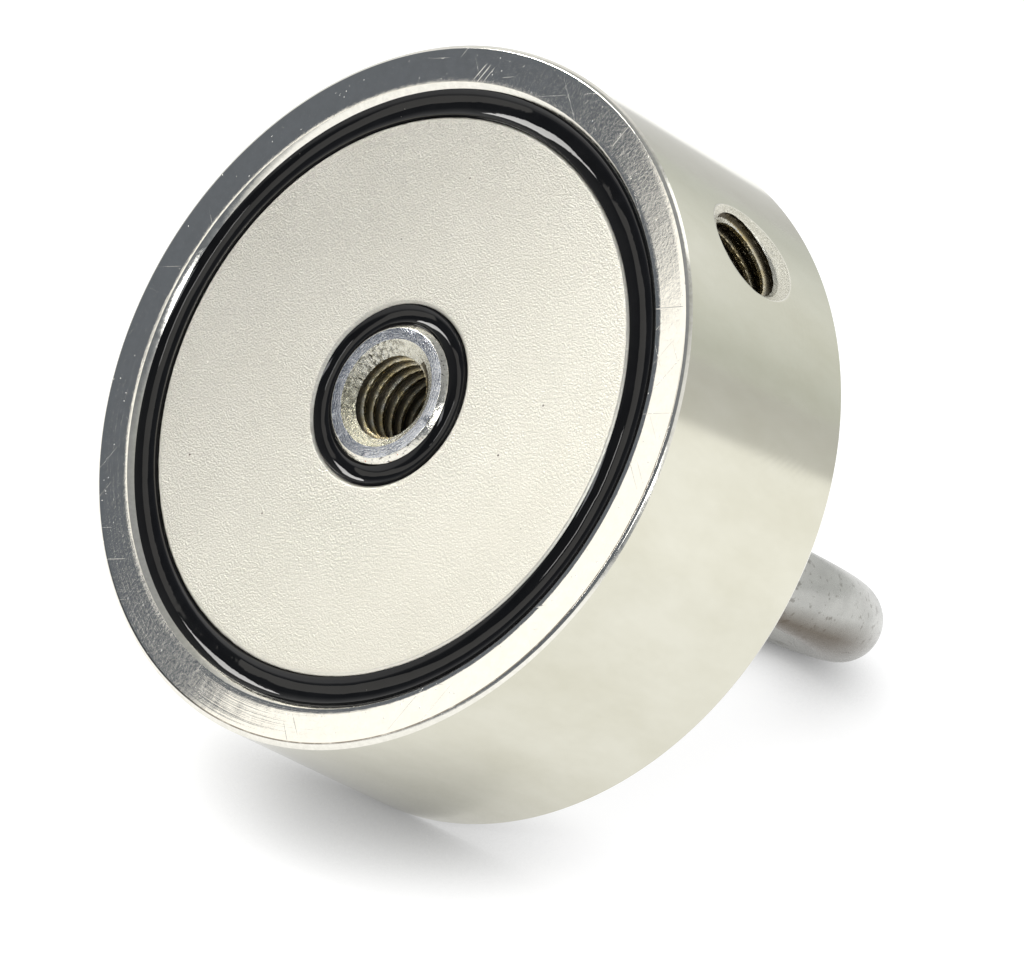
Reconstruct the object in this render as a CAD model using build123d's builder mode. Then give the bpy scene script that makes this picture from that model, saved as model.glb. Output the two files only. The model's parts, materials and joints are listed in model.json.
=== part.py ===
from build123d import *
from math import cos, degrees, pi, radians, sin, tan
import os

os.makedirs("parts", exist_ok=True)

# Double-sided magnet fishing magnet: a turned steel pot of H section with a ring
# magnet potted into each face, an M8 thread right through its boss, a second M8
# thread in its rim, and a forged M8 eyebolt with a spring washer screwed in from the back.
#
# Row frame: the magnet lies on a floor (the XY plane), propped up on the lowest
# point of its rear rim and on the tip of the eye. +Z is up, the front face looks
# towards -Y and upwards, X runs across it. The origin is on the floor, under the
# middle of the whole object.

# ---------------------------------------------------------------- driving dimensions (mm)
pot_diameter = 60.0
pot_thickness = 21.5
rim_edge_chamfer = 0.4
rim_inner_radius = 26.7  # of the flat rim face
wall_inner_radius = 26.25  # of the potting groove's outer wall
pocket_depth = 6.0  # each side

boss_radius = 6.0
boss_edge_chamfer = 0.42
countersink_radius = 4.6
countersink_angle = 120.0  # included

magnet_outer_radius = 23.85
magnet_inner_radius = 7.75
magnet_recess = 0.3  # of the magnet's face below the rim
magnet_thickness = 5.5
magnet_chamfer = 0.25

resin_wall_drop = 0.55  # where the potting resin wets a steel wall, below the rim
resin_magnet_drop = 0.6  # where it wets the magnet
resin_hollow = 0.22  # how far its surface dips between them

thread_pitch = 1.25  # M8 coarse; the rest are radii
thread_major_internal = 4.02
thread_middle_internal = 3.674  # 6H upper limit
thread_minor_internal = 3.40
thread_major_external = 3.90
thread_middle_external = 3.521  # 6g lower limit
thread_minor_external = 3.20

side_hole_angle = 40.3  # from the top of the rim towards +X, about the pot's axis
side_mouth_radius = 4.96  # of its 120 degree countersink, level with the rim's outside
side_step_radius = 3.94
side_hole_depth = 16.0  # drilled, from the rim's outside
side_thread_depth = 13.0
pilot_radius = 3.38  # of the drilled hole beyond the thread

washer_thickness = 2.0
washer_inner_radius = 4.1
washer_outer_radius = 7.4
washer_gap = 0.7  # between the ends of its one turn
washer_gap_angle = 25.0  # of the cut, from square to the ring
washer_edge_chamfer = 0.25

eye_section = 7.0  # diameter of the eye's round section
eye_mean_radius = 14.5
eye_height = 36.0  # from the collar's seat to the eye's tip
eye_turn = 2.7  # of the eye's plane about the pot's axis, out of level
collar_radius = 10.0
collar_thickness = 5.2
neck_radius = 4.6
shank_length = 13.0
shank_relief = 2.0
shank_tip_chamfer = 1.0

# ---------------------------------------------------------------- how it lies
R = pot_diameter / 2
T = pot_thickness
eye_centre_depth = T + washer_thickness + eye_height - eye_mean_radius - eye_section / 2

# The rear rim's lowest edge is at radius R and depth T - chamfer. The eye's lowest point is
# found from its mean circle, which is nearly level. Both are on the floor.
eye_turn_cos, eye_turn_sin = cos(radians(eye_turn)), sin(radians(eye_turn))


def rim_drop(angle):
    """Height of the front face's middle over the rear rim's lowest edge."""
    return R * cos(angle) + (T - rim_edge_chamfer) * sin(angle)


def eye_drop(angle):
    """Height of the front face's middle over the eye's lowest point."""
    slope = (1 - (eye_turn_cos * cos(angle)) ** 2) ** 0.5
    return eye_centre_depth * sin(angle) + eye_mean_radius * slope + eye_section / 2


low, high = radians(20), radians(60)
for _ in range(60):
    middle = (low + high) / 2
    if rim_drop(middle) > eye_drop(middle):
        low = middle
    else:
        high = middle
lean = low
front_height = rim_drop(lean)

# Extent along Y, so that the origin is under the middle of the object.
near_edge = -R * sin(lean) + rim_edge_chamfer * cos(lean)
near_face = -(R - rim_edge_chamfer) * sin(lean)
far_edge = R * sin(lean) + (T - rim_edge_chamfer) * cos(lean)
far_eye = (eye_centre_depth + eye_mean_radius) * cos(lean) + eye_section / 2
y_shift = -(min(near_edge, near_face) + max(far_edge, far_eye)) / 2

face_centre = Vector(0, y_shift, front_height)
front_normal = Vector(0, -cos(lean), sin(lean))
face_up = Vector(0, sin(lean), cos(lean))
inward = front_normal * -1

pot_axis = Axis(face_centre, front_normal)


def along(depth):
    """The point on the pot's axis at a depth behind the front rim face."""
    return face_centre + inward * depth


def across(depth):
    """The plane across the pot's axis at a depth, looking out of the front face, with x level."""
    return Plane(origin=along(depth), x_dir=(1, 0, 0), z_dir=front_normal)


# The pot's section: x is the radius, y is the height above the front rim face.
section_plane = Plane(origin=face_centre, x_dir=(1, 0, 0), z_dir=face_up * -1)
# The same section as seen from the back face: y is the height above the rear rim face.
rear_plane = Plane(origin=along(T), x_dir=(1, 0, 0), z_dir=face_up)

print("lean", degrees(lean), "front centre", face_centre, "eye centre", along(eye_centre_depth))


# ---------------------------------------------------------------- threads
def tooth_profile(major, middle, minor):
    """Points of a thread's section square to its axis: the rising flank and the falling one.

    A 60 degree thread has straight flanks along the axis, so square to the axis they
    are spirals. Each angle is the matching half width of the tooth, in turns of the pitch.
    """
    half_angle = lambda r: (thread_pitch / 4 - (r - middle) * tan(radians(30))) * 2 * pi / thread_pitch
    radii = [minor + (major - minor) * i / 8 for i in range(9)]
    rising = [(r * cos(half_angle(r)), -r * sin(half_angle(r))) for r in radii]
    falling = [(x, -y) for x, y in reversed(rising)]
    return rising, falling


def guide_helix(start, direction, length):
    """Right-hand helix of the thread's pitch, which turns a section as it moves."""
    return Wire([Edge.make_helix(thread_pitch, length, 5, start, direction)])


# The M8 tap is the space of an internal thread. The centre one starts in front of the
# face, a whole number of pitches before the eyebolt's tip, so that the two are in phase.
shank_tip_depth = T + washer_thickness - shank_length
tap_start = shank_tip_depth - 10 * thread_pitch
tap_length = T - tap_start + 1.5
rising, falling = tooth_profile(thread_major_internal, thread_middle_internal, thread_minor_internal)

with BuildPart() as centre_tap:
    with BuildSketch(Plane(origin=along(tap_start), x_dir=(1, 0, 0), z_dir=inward)):
        with BuildLine():
            Spline(*rising)
            ThreePointArc(rising[-1], (thread_major_internal, 0), falling[0])
            Spline(*falling)
            ThreePointArc(falling[-1], (-thread_minor_internal, 0), rising[0])
        make_face()
    sweep(
        path=Edge.make_line(along(tap_start), along(tap_start + tap_length)),
        binormal=guide_helix(along(tap_start), inward, tap_length),
    )

# side hole: radial, at mid thickness
side_out = Vector(1, 0, 0) * sin(radians(side_hole_angle)) + face_up * cos(radians(side_hole_angle))
side_middle = along(T / 2)


def side_point(radius):
    """The point on the side hole's axis at a distance from the pot's axis."""
    return side_middle + side_out * radius


side_axis = Axis(side_middle, side_out)
side_section = Plane(origin=side_middle, x_dir=front_normal, z_dir=front_normal.cross(side_out))
side_tap_end = R - side_thread_depth

with BuildPart() as side_tap:
    with BuildSketch(Plane(origin=side_point(side_tap_end), x_dir=front_normal, z_dir=side_out)):
        with BuildLine():
            Spline(*rising)
            ThreePointArc(rising[-1], (thread_major_internal, 0), falling[0])
            Spline(*falling)
            ThreePointArc(falling[-1], (-thread_minor_internal, 0), rising[0])
        make_face()
    sweep(
        path=Edge.make_line(side_point(side_tap_end), side_point(R + 1.5)),
        binormal=guide_helix(side_point(side_tap_end), side_out, side_thread_depth + 1.5),
    )

# ---------------------------------------------------------------- pot body
bevel = rim_inner_radius - wall_inner_radius
countersink_depth = (countersink_radius - 3.2) / tan(radians(countersink_angle / 2))
drill_point = pilot_radius / tan(radians(59))
side_step_drop = (side_mouth_radius - side_step_radius) / tan(radians(60))

with BuildPart() as pot_body:
    # H section, turned in one piece
    with BuildSketch(section_plane):
        with BuildLine():
            Polyline(
                (0, 0),
                (boss_radius - boss_edge_chamfer, 0),
                (boss_radius, -boss_edge_chamfer),
                (boss_radius, -pocket_depth),
                (wall_inner_radius, -pocket_depth),
                (wall_inner_radius, -bevel),
                (rim_inner_radius, 0),
                (R - rim_edge_chamfer, 0),
                (R, -rim_edge_chamfer),
                (R, -T + rim_edge_chamfer),
                (R - rim_edge_chamfer, -T),
                (rim_inner_radius, -T),
                (wall_inner_radius, -T + bevel),
                (wall_inner_radius, -T + pocket_depth),
                (boss_radius, -T + pocket_depth),
                (boss_radius, -T + boss_edge_chamfer),
                (boss_radius - boss_edge_chamfer, -T),
                (0, -T),
                close=True,
            )
        make_face()
    revolve(axis=pot_axis)

    # M8 thread right through the boss
    add(centre_tap.part, mode=Mode.SUBTRACT)

    # countersink at each end of it
    for plane in (section_plane, rear_plane):
        with BuildSketch(plane):
            with BuildLine():
                Polyline(
                    (0, -countersink_depth),
                    (3.2, -countersink_depth),
                    (countersink_radius, 0),
                    (countersink_radius, 2),
                    (0, 2),
                    close=True,
                )
            make_face()
        revolve(axis=pot_axis, mode=Mode.SUBTRACT)

    # side hole: its M8 thread
    add(side_tap.part, mode=Mode.SUBTRACT)

    # side hole: the drilled pilot beyond the thread, with its point
    with BuildSketch(side_section):
        with BuildLine():
            Polyline(
                (0, R - side_hole_depth - drill_point),
                (pilot_radius, R - side_hole_depth),
                (pilot_radius, side_tap_end + 1),
                (0, side_tap_end + 1),
                close=True,
            )
        make_face()
    revolve(axis=side_axis, mode=Mode.SUBTRACT)

    # side hole: an outer countersink, a small step and the thread's steeper lead-in
    with BuildSketch(side_section):
        with BuildLine():
            Polyline(
                (0, R - 1.6),
                (3.2, R - 1.6),
                (side_step_radius - 0.06, R - side_step_drop - 0.1),
                (side_step_radius, R - side_step_drop),
                (side_mouth_radius + 0.3 * tan(radians(60)), R + 0.3),
                (side_mouth_radius + 0.3 * tan(radians(60)), R + 2),
                (0, R + 2),
                close=True,
            )
        make_face()
    revolve(axis=side_axis, mode=Mode.SUBTRACT)
pot_body.part.label = "pot_body"
export_step(pot_body.part, "parts/pot_body.step")


# ---------------------------------------------------------------- magnets, adhesive and resin
def magnet_profile():
    """Section of the ring magnet, below the rim face it belongs to."""
    a, b, c = magnet_inner_radius, magnet_outer_radius, magnet_chamfer
    top, bottom = -magnet_recess, -magnet_recess - magnet_thickness
    Polyline(
        (a, top - c),
        (a + c, top),
        (b - c, top),
        (b, top - c),
        (b, bottom + c),
        (b - c, bottom),
        (a + c, bottom),
        (a, bottom + c),
        close=True,
    )


def resin_profile(steel, magnet):
    """Section of a resin ring between a steel wall and the magnet, with a dished surface."""
    high, low = (steel, -resin_wall_drop), (magnet, -resin_magnet_drop)
    middle = ((steel + magnet) / 2, -(resin_wall_drop + resin_magnet_drop) / 2 - resin_hollow)
    ThreePointArc(high, middle, low)
    Polyline(low, (magnet, -pocket_depth), (steel, -pocket_depth), high)


def adhesive_profile():
    """Section of the thin bond under the magnet."""
    a, b, top = magnet_inner_radius, magnet_outer_radius, -magnet_recess - magnet_thickness
    Polyline((a, -pocket_depth), (b, -pocket_depth), (b, top), (a, top), close=True)


with BuildPart() as front_magnet:
    with BuildSketch(section_plane):
        with BuildLine():
            magnet_profile()
        make_face()
    revolve(axis=pot_axis)
front_magnet.part.label = "front_magnet"
export_step(front_magnet.part, "parts/front_magnet.step")

with BuildPart() as rear_magnet:
    with BuildSketch(rear_plane):
        with BuildLine():
            magnet_profile()
        make_face()
    revolve(axis=pot_axis)
rear_magnet.part.label = "rear_magnet"
export_step(rear_magnet.part, "parts/rear_magnet.step")

with BuildPart() as front_adhesive:
    with BuildSketch(section_plane):
        with BuildLine():
            adhesive_profile()
        make_face()
    revolve(axis=pot_axis)
front_adhesive.part.label = "front_adhesive"
export_step(front_adhesive.part, "parts/front_adhesive.step")

with BuildPart() as rear_adhesive:
    with BuildSketch(rear_plane):
        with BuildLine():
            adhesive_profile()
        make_face()
    revolve(axis=pot_axis)
rear_adhesive.part.label = "rear_adhesive"
export_step(rear_adhesive.part, "parts/rear_adhesive.step")

with BuildPart() as front_outer_resin:
    with BuildSketch(section_plane):
        with BuildLine():
            resin_profile(wall_inner_radius, magnet_outer_radius)
        make_face()
    revolve(axis=pot_axis)
front_outer_resin.part.label = "front_outer_resin"
export_step(front_outer_resin.part, "parts/front_outer_resin.step")

with BuildPart() as front_inner_resin:
    with BuildSketch(section_plane):
        with BuildLine():
            resin_profile(boss_radius, magnet_inner_radius)
        make_face()
    revolve(axis=pot_axis)
front_inner_resin.part.label = "front_inner_resin"
export_step(front_inner_resin.part, "parts/front_inner_resin.step")

with BuildPart() as rear_outer_resin:
    with BuildSketch(rear_plane):
        with BuildLine():
            resin_profile(wall_inner_radius, magnet_outer_radius)
        make_face()
    revolve(axis=pot_axis)
rear_outer_resin.part.label = "rear_outer_resin"
export_step(rear_outer_resin.part, "parts/rear_outer_resin.step")

with BuildPart() as rear_inner_resin:
    with BuildSketch(rear_plane):
        with BuildLine():
            resin_profile(boss_radius, magnet_inner_radius)
        make_face()
    revolve(axis=pot_axis)
rear_inner_resin.part.label = "rear_inner_resin"
export_step(rear_inner_resin.part, "parts/rear_inner_resin.step")

# ---------------------------------------------------------------- spring washer
# One turn of square wire, squeezed flat between the boss and the collar. The cut
# between its ends points away from the eye's plane.
gap_cos, gap_sin = cos(radians(washer_gap_angle)), sin(radians(washer_gap_angle))
gap_middle = along(T + washer_thickness / 2) + face_up * (washer_inner_radius + washer_outer_radius) / 2
gap_across = Vector(1, 0, 0) * gap_cos + front_normal * gap_sin

with BuildPart() as spring_washer:
    with BuildSketch(rear_plane):
        with BuildLine():
            Polyline(
                (washer_inner_radius, 0),
                (washer_outer_radius - washer_edge_chamfer, 0),
                (washer_outer_radius, washer_edge_chamfer),
                (washer_outer_radius, washer_thickness - washer_edge_chamfer),
                (washer_outer_radius - washer_edge_chamfer, washer_thickness),
                (washer_inner_radius, washer_thickness),
                close=True,
            )
        make_face()
    revolve(axis=pot_axis)
    with BuildSketch(Plane(origin=gap_middle, x_dir=gap_across, z_dir=face_up)):
        Rectangle(washer_gap, 4 * washer_thickness)
    extrude(amount=3.2, both=True, mode=Mode.SUBTRACT)
spring_washer.part.label = "spring_washer"
export_step(spring_washer.part, "parts/spring_washer.step")

# ---------------------------------------------------------------- eyebolt
seat = T + washer_thickness
eye_centre = along(eye_centre_depth)
# The eye's plane is turned a little about the pot's axis.
eye_across = Vector(1, 0, 0) * eye_turn_cos + face_up * eye_turn_sin
eye_side = face_up * eye_turn_cos - Vector(1, 0, 0) * eye_turn_sin
eye_axis = Axis(eye_centre, eye_side)
# The bolt's own section: x is the radius, y is the height above the seat, towards the eye.
bolt_plane = Plane(origin=along(seat), x_dir=(1, 0, 0), z_dir=face_up)
rising, falling = tooth_profile(thread_major_external, thread_middle_external, thread_minor_external)
thread_end = shank_length - shank_relief

with BuildPart() as bolt_thread:
    with BuildSketch(Plane(origin=along(shank_tip_depth), x_dir=(1, 0, 0), z_dir=inward)):
        with BuildLine():
            Spline(*rising)
            ThreePointArc(rising[-1], (thread_major_external, 0), falling[0])
            Spline(*falling)
            ThreePointArc(falling[-1], (-thread_minor_external, 0), rising[0])
        make_face()
    sweep(
        path=Edge.make_line(along(shank_tip_depth), along(shank_tip_depth + thread_end)),
        binormal=guide_helix(along(shank_tip_depth), inward, thread_end),
    )
    # pointed tip, and the run-out at the relief
    with BuildSketch(bolt_plane):
        with BuildLine():
            Polyline(
                (0, -shank_length),
                (thread_major_external + 0.1 - shank_tip_chamfer, -shank_length),
                (thread_major_external + 0.1, -shank_length + shank_tip_chamfer),
                (thread_major_external + 0.1, -shank_relief - 0.6),
                (thread_minor_external - 0.1, -shank_relief),
                (0, -shank_relief),
                close=True,
            )
        make_face()
    revolve(axis=pot_axis, mode=Mode.INTERSECT)

with BuildPart() as eyebolt:
    # collar and neck
    with BuildSketch(bolt_plane):
        with BuildLine():
            Polyline(
                (0, 0),
                (collar_radius - 0.7, 0),
                (collar_radius, 0.7),
                (collar_radius, collar_thickness - 1.0),
            )
            ThreePointArc(
                (collar_radius, collar_thickness - 1.0),
                (collar_radius - 0.4, collar_thickness - 0.25),
                (collar_radius - 1.3, collar_thickness),
            )
            ThreePointArc(
                (collar_radius - 1.3, collar_thickness),
                (neck_radius + 1.5, collar_thickness + 1.4),
                (neck_radius, collar_thickness + 4.2),
            )
            Polyline((neck_radius, collar_thickness + 4.2), (0, collar_thickness + 4.2), (0, 0))
        make_face()
    revolve(axis=pot_axis)

    # the neck stays clear of the eye's opening
    with BuildSketch(Plane(origin=eye_centre, x_dir=eye_across, z_dir=eye_side)):
        Circle(eye_mean_radius - eye_section / 2)
    extrude(amount=collar_radius + 5, both=True, mode=Mode.SUBTRACT)

    # the eye, flat where it would reach below the seat
    with BuildSketch(Plane(origin=eye_centre, x_dir=eye_across, z_dir=front_normal)):
        with Locations((eye_mean_radius, 0)):
            Circle(eye_section / 2)
    revolve(axis=eye_axis)
    with BuildSketch(across(seat)):
        Circle(collar_radius + 2)
    extrude(amount=3, mode=Mode.SUBTRACT)

    # shank: relief below the collar, then the thread
    with BuildSketch(bolt_plane):
        with BuildLine():
            Polyline(
                (0, -shank_relief - 0.3),
                (thread_minor_external - 0.1, -shank_relief - 0.3),
                (thread_minor_external - 0.1, 0),
                (thread_minor_external - 0.1, 1),
                (0, 1),
                close=True,
            )
        make_face()
    revolve(axis=pot_axis)
    add(bolt_thread.part)
eyebolt.part.label = "eyebolt"
export_step(eyebolt.part, "parts/eyebolt.step")

for made in (pot_body, front_magnet, front_outer_resin, front_inner_resin, spring_washer, eyebolt):
    print(made.part.label, round(made.part.volume, 1), made.part.is_valid, len(made.part.solids()))
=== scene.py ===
import bpy
import json
import numpy as np
from math import asin, atan2, ceil, cos, degrees, hypot, pi, radians, sin, sqrt, tan
from mathutils import Matrix, Vector


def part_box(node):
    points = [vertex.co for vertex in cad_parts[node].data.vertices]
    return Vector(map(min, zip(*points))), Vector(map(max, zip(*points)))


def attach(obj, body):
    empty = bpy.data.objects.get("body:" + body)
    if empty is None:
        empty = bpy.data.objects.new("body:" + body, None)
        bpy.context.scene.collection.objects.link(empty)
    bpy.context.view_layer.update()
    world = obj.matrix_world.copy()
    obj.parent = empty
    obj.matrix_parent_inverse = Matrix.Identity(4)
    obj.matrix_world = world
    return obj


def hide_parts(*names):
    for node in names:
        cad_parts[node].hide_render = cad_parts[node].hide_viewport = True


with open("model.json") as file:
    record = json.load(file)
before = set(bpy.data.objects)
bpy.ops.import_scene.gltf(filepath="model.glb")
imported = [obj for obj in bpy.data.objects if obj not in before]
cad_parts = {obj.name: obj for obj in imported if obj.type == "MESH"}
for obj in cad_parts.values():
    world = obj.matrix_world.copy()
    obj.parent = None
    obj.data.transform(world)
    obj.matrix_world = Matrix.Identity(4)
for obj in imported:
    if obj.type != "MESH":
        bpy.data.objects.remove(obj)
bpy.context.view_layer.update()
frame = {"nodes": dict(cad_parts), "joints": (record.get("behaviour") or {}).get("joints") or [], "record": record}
record = frame["record"]

# ---------------------------------------------------------------- the frame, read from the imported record
hinge = [j for j in frame["joints"] if j["name"] == "bolt_turn"][0]
INWARD = Vector(hinge["axis"]).normalized()
NORMAL = -INWARD
ACROSS = Vector((1, 0, 0))
UP = NORMAL.cross(ACROSS)
T = 21.5  # pot thickness, mm
FACE = Vector(hinge["pos_m"]) - INWARD * T * 0.001  # middle of the front rim face

# Pieces are built in millimetres in the pot's own axes: x level, y up the face, z out of the front face.
LOCAL = Matrix((
    (ACROSS.x, UP.x, NORMAL.x, FACE.x),
    (ACROSS.y, UP.y, NORMAL.y, FACE.y),
    (ACROSS.z, UP.z, NORMAL.z, FACE.z),
    (0, 0, 0, 1),
))
lo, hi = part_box("pot_body")
assert abs((hi[0] - lo[0]) - 0.060) < 1e-4

# ---------------------------------------------------------------- dimensions (mm)
R = 30.0
PITCH = 1.25
WALL = 26.25
BOSS = 6.0
POCKET = 6.0
SIDE_ANGLE = radians(90 - 40.3)
SIDE_Z = -T / 2
SIDE_TAP_END = R - 13.0
INTERNAL = (4.02, 3.674, 3.40)
EXTERNAL = (3.90, 3.521, 3.20)
SEAT = T + 2.0
TIP = SEAT - 13.0
TAP_START = TIP - 10 * PITCH
EYE_H = 18.0  # eye's middle above the seat
EYE_R = 14.5
EYE_SECTION = 3.5
EYE_TURN = radians(2.7)


# ---------------------------------------------------------------- smooth noise on numpy arrays
def _hash(ix, iy, iz, seed):
    h = (ix * 374761393 + iy * 668265263 + iz * 2147483647 + seed * 974711) & 0xFFFFFFFF
    h = ((h ^ (h >> 13)) * 1274126177) & 0xFFFFFFFF
    h = ((h ^ (h >> 16)) * 2246822519) & 0xFFFFFFFF
    return ((h ^ (h >> 15)) & 0xFFFF) / 65535.0


def noise3(p, seed=0):
    """Value noise between -1 and 1 at points p, with features one unit across."""
    p = np.asarray(p, dtype=np.float64)
    i = np.floor(p).astype(np.int64)
    f = p - i
    f = f * f * f * (f * (f * 6 - 15) + 10)
    out = 0.0
    for dx in (0, 1):
        for dy in (0, 1):
            for dz in (0, 1):
                w = (f[..., 0] if dx else 1 - f[..., 0]) * (f[..., 1] if dy else 1 - f[..., 1]) * (f[..., 2] if dz else 1 - f[..., 2])
                out = out + w * _hash(i[..., 0] + dx, i[..., 1] + dy, i[..., 2] + dz, seed)
    return out * 2 - 1


def fractal(p, octaves=3, seed=0):
    out, amp, total = 0.0, 1.0, 0.0
    p = np.asarray(p, dtype=np.float64)
    for k in range(octaves):
        out = out + amp * noise3(p * 2.0**k, seed + 17 * k)
        total += amp
        amp *= 0.5
    return out / total


def smooth(a, b, x):
    t = np.clip((x - a) / (b - a), 0, 1)
    return t * t * (3 - 2 * t)


# ---------------------------------------------------------------- mesh builder
class Build:
    """Collects rings and grids of vertices, in mm, and the faces between them."""

    def __init__(self):
        self.verts, self.faces, self.mats, self.count = [], [], [], 0

    def add(self, pts):
        pts = np.asarray(pts, dtype=np.float64).reshape(-1, 3)
        idx = np.arange(self.count, self.count + len(pts))
        self.verts.append(pts)
        self.count += len(pts)
        return idx

    def face(self, f, mat):
        self.faces.append(tuple(int(v) for v in f))
        self.mats.append(mat)

    def band(self, a, b, mat, closed=True):
        """Quads from ring a to ring b, which have as many points."""
        n = len(a)
        for i in range(n if closed else n - 1):
            j = (i + 1) % n
            self.face((a[i], a[j], b[j], b[i]), mat)

    def widen(self, small, big, mat):
        """Joins a ring to one with a whole number of times as many points."""
        n, k = len(small), len(big) // len(small)
        half = k // 2
        for i in range(n):
            j = (i + 1) % n
            for m in range(k):
                a, b = big[i * k + m], big[(i * k + m + 1) % len(big)]
                self.face((small[i] if m < half else small[j], a, b), mat)
            self.face((small[i], big[(i * k + half) % len(big)], small[j]), mat)

    def cap(self, ring, centre, mat, flip=False):
        c = self.add([centre])[0]
        n = len(ring)
        for i in range(n):
            j = (i + 1) % n
            self.face((ring[j], ring[i], c) if flip else (ring[i], ring[j], c), mat)

    def object(self, name, body, materials, flip=False, angle=32.0, matrix=LOCAL):
        verts = np.concatenate(self.verts) * 0.001
        mesh = bpy.data.meshes.new(name)
        faces = [f[::-1] for f in self.faces] if flip else self.faces
        mesh.from_pydata(verts.tolist(), [], faces)
        mesh.polygons.foreach_set("material_index", np.asarray(self.mats, dtype=np.int32))
        for m in materials:
            mesh.materials.append(m)
        mesh.polygons.foreach_set("use_smooth", np.ones(len(faces), dtype=bool))
        mesh.update()
        mesh.validate()
        mesh.set_sharp_from_angle(angle=radians(angle))
        obj = bpy.data.objects.new(name, mesh)
        bpy.context.scene.collection.objects.link(obj)
        obj.matrix_world = matrix
        bpy.context.view_layer.update()
        return obj


def ring(r, z, n, start=0.0):
    t = start + np.arange(n) * 2 * pi / n
    return np.stack([r * np.cos(t), r * np.sin(t), np.broadcast_to(z, t.shape)], -1)


def arc(cx, cy, rad, a0, a1, n):
    """Points of an arc in a section, from angle a0 to a1 in degrees."""
    return [(cx + rad * cos(radians(a0 + (a1 - a0) * i / n)), cy + rad * sin(radians(a0 + (a1 - a0) * i / n))) for i in range(n + 1)]


def soften(points, radius, n=3):
    """Rounds the corners of an open section."""
    out = [points[0]]
    for a, b, c in zip(points, points[1:], points[2:]):
        a, b, c = np.array(a), np.array(b), np.array(c)
        u, v = a - b, c - b
        lu, lv = np.linalg.norm(u), np.linalg.norm(v)
        d = min(radius, lu * 0.45, lv * 0.45)
        p, q = b + u / lu * d, b + v / lv * d
        for k in range(n + 1):
            s = k / n
            out.append(tuple((1 - s) ** 2 * p + 2 * s * (1 - s) * b + s * s * q))
    out.append(points[-1])
    return out


def tooth(x, major, middle, minor):
    """Radius of a 60 degree thread at an offset x along the axis from the middle of its outermost part."""
    x = (x + PITCH / 2) % PITCH - PITCH / 2
    r = middle + (PITCH / 4 - np.abs(x)) / tan(radians(30))
    return np.clip(r, minor, major)


# ---------------------------------------------------------------- materials
def material(name):
    m = bpy.data.materials.new(name)
    m.use_nodes = True
    nt = m.node_tree
    nt.nodes.clear()
    out = nt.nodes.new("ShaderNodeOutputMaterial")
    bsdf = nt.nodes.new("ShaderNodeBsdfPrincipled")
    nt.links.new(bsdf.outputs[0], out.inputs[0])
    return m, nt, bsdf


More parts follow.
